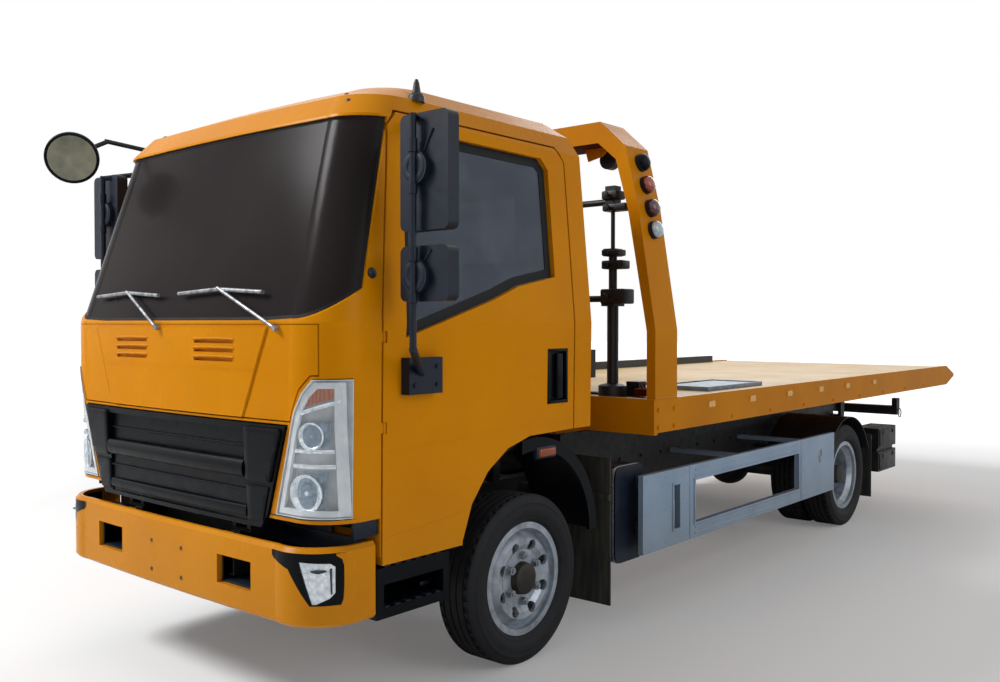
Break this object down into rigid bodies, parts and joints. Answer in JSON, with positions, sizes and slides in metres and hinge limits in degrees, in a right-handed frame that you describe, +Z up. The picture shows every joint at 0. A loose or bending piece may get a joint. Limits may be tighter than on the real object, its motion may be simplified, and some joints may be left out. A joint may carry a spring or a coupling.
{
  "type": "flatbed tow truck",
  "caption": "Light recovery truck with a tilting cab, a platform that slides and tilts, a lamp arch behind the cab and a telescopic wheel lift at the tail.",
  "frame": {"origin": "on the ground under the middle of the overall box", "axes": "+X towards the cab, +Y to the truck's left, +Z up"},
  "size_m": [7.296, 2.556, 2.5559],
  "materials": {
    "cab_paint": "gloss",
    "bumper_paint": "gloss",
    "deck_paint": "gloss, worn",
    "window_glass": "tinted",
    "black_plastic": "satin",
    "grille_black": "gloss",
    "headlamp_clear": "clear over silver",
    "fog_lamp": "clear over black",
    "seat_cloth": "woven",
    "cabin_plastic": "grained",
    "frame_black": "satin",
    "cast_iron": "as cast",
    "flap_rubber": "matt",
    "guard_paint": "satin",
    "tail_lamp": "clear",
    "amber_lens": "clear",
    "lamp_body": "clear",
    "bare_steel": "worn",
    "gear_grey": "worn",
    "tyre": "matt",
    "rim_paint": "satin"
  },
  "bodies": {
    "chassis": {"chassis_frame": "frame_black", "engine_block": "cast_iron", "front_axle": "frame_black", "rear_axle": "frame_black", "fuel_tank": "frame_black", "battery_box": "black_plastic", "front_bumper": "bumper_paint", "fog_lamps": "fog_lamp", "cab_steps": "black_plastic", "mudflaps": "flap_rubber", "rear_mudguards": "frame_black", "side_guards": "guard_paint", "tail_boxes": "frame_black", "tail_lamps": "tail_lamp", "subframe": "frame_black"},
    "cab": {"cab_shell": "cab_paint", "windscreen": "window_glass", "rear_window": "window_glass", "front_lid": "cab_paint", "grille": "grille_black", "headlamps": "headlamp_clear", "wipers": "black_plastic", "kerb_mirror": "black_plastic", "seats": "seat_cloth", "dashboard": "cabin_plastic", "steering_wheel": "cabin_plastic", "arch_liners": "black_plastic"},
    "door_left": {"door_left": "cab_paint", "door_glass_left": "window_glass", "mirror_left": "black_plastic"},
    "door_right": {"door_right": "cab_paint", "door_glass_right": "window_glass", "mirror_right": "black_plastic"},
    "knuckle_left": {"knuckle_left": "cast_iron"},
    "knuckle_right": {"knuckle_right": "cast_iron"},
    "wheel_front_left": {"tyre_front_left": "tyre", "rim_front_left": "rim_paint"},
    "wheel_front_right": {"tyre_front_right": "tyre", "rim_front_right": "rim_paint"},
    "wheels_rear_left": {"tyres_rear_left": "tyre", "rims_rear_left": "rim_paint"},
    "wheels_rear_right": {"tyres_rear_right": "tyre", "rims_rear_right": "rim_paint"},
    "tilt_frame": {"tilt_frame": "frame_black"},
    "platform": {"deck": "deck_paint", "deck_lamps": "amber_lens", "lamp_arch": "deck_paint", "arch_lamps": "lamp_body", "stowage_rack": "frame_black", "winch_frame": "frame_black", "deck_gear": "gear_grey"},
    "winch_drum": {"winch_drum": "bare_steel"},
    "lift_boom": {"lift_boom": "frame_black"},
    "lift_fork": {"lift_fork": "frame_black"}
  },
  "joints": [
    {"name": "steer_left", "type": "hinge", "parent": "chassis", "child": "knuckle_left", "pos_m": [2.4, 0.7, 0.375], "axis": [0, 0, 1], "range_deg": [-36, 36]},
    {"name": "steer_right", "type": "hinge", "parent": "chassis", "child": "knuckle_right", "pos_m": [2.4, -0.7, 0.375], "axis": [0, 0, 1], "range_deg": [-36, 36]},
    {"name": "spin_front_left", "type": "hinge", "parent": "knuckle_left", "child": "wheel_front_left", "pos_m": [2.4, 0.848, 0.375], "axis": [0, 1, 0], "continuous": true},
    {"name": "spin_front_right", "type": "hinge", "parent": "knuckle_right", "child": "wheel_front_right", "pos_m": [2.4, -0.848, 0.375], "axis": [0, 1, 0], "continuous": true},
    {"name": "spin_rear_left", "type": "hinge", "parent": "chassis", "child": "wheels_rear_left", "pos_m": [-1.4, 0.735, 0.375], "axis": [0, 1, 0], "continuous": true},
    {"name": "spin_rear_right", "type": "hinge", "parent": "chassis", "child": "wheels_rear_right", "pos_m": [-1.4, -0.735, 0.375], "axis": [0, 1, 0], "continuous": true},
    {"name": "cab_tilt", "type": "hinge", "parent": "chassis", "child": "cab", "pos_m": [3.48, 0, 0.752], "axis": [0, 1, 0], "range_deg": [0, 45]},
    {"name": "door_left_open", "type": "hinge", "parent": "cab", "child": "door_left", "pos_m": [3.26, 0.955, 1], "axis": [0, 0, -1], "range_deg": [0, 65]},
    {"name": "door_right_open", "type": "hinge", "parent": "cab", "child": "door_right", "pos_m": [3.26, -0.955, 1], "axis": [0, 0, 1], "range_deg": [0, 65]},
    {"name": "platform_tilt", "type": "hinge", "parent": "chassis", "child": "tilt_frame", "pos_m": [-2.55, 0, 0.81], "axis": [0, -1, 0], "range_deg": [0, 14]},
    {"name": "platform_slide", "type": "slide", "parent": "tilt_frame", "child": "platform", "axis": [-1, 0, 0], "range_m": [0, 3]},
    {"name": "winch_turn", "type": "hinge", "parent": "platform", "child": "winch_drum", "pos_m": [1.26, 0, 1.28], "axis": [0, 1, 0], "continuous": true},
    {"name": "lift_lower", "type": "hinge", "parent": "chassis", "child": "lift_boom", "pos_m": [-2.45, 0, 0.6], "axis": [0, -1, 0], "range_deg": [0, 20]},
    {"name": "lift_extend", "type": "slide", "parent": "lift_boom", "child": "lift_fork", "axis": [-1, 0, 0], "range_m": [0, 0.45]}
  ],
  "couplings": [
    {"joint": "steer_right", "follows": "steer_left", "ratio": 1}
  ]
}
